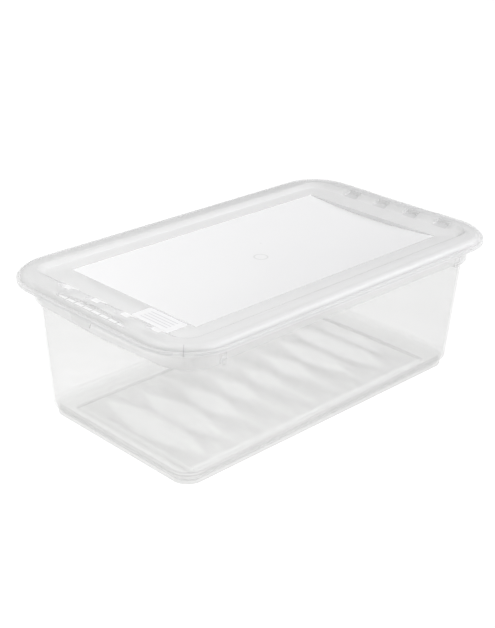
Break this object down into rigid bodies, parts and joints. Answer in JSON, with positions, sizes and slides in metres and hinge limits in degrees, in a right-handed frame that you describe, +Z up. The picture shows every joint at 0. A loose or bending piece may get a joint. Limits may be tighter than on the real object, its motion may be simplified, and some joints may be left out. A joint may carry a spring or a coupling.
{
  "type": "stackable storage bin",
  "caption": "Clear rectangular storage bin with tapered walls, recessed foot and wavy floor, closed by a milky press-on lid with a dished panel and a raised edge for stacking.",
  "frame": {"origin": "centre of the footprint, on the surface that the bin stands on", "axes": "+X along the long side, +Y across the short side, +Z up through the lid"},
  "size_m": [0.3294, 0.1958, 0.1115],
  "materials": {
    "clear_plastic": "glossy clear polypropylene with a slight haze",
    "milky_plastic": "satin translucent polypropylene",
    "label_paper": "coated white paper label with fine grey rules"
  },
  "bodies": {
    "bin": {"bin": "clear_plastic"},
    "lid": {"lid": "milky_plastic", "label": "label_paper"}
  },
  "joints": [
    {"name": "lid_lift", "type": "slide", "parent": "bin", "child": "lid", "axis": [0, 0, 1], "range_m": [0, 0.12]}
  ]
}
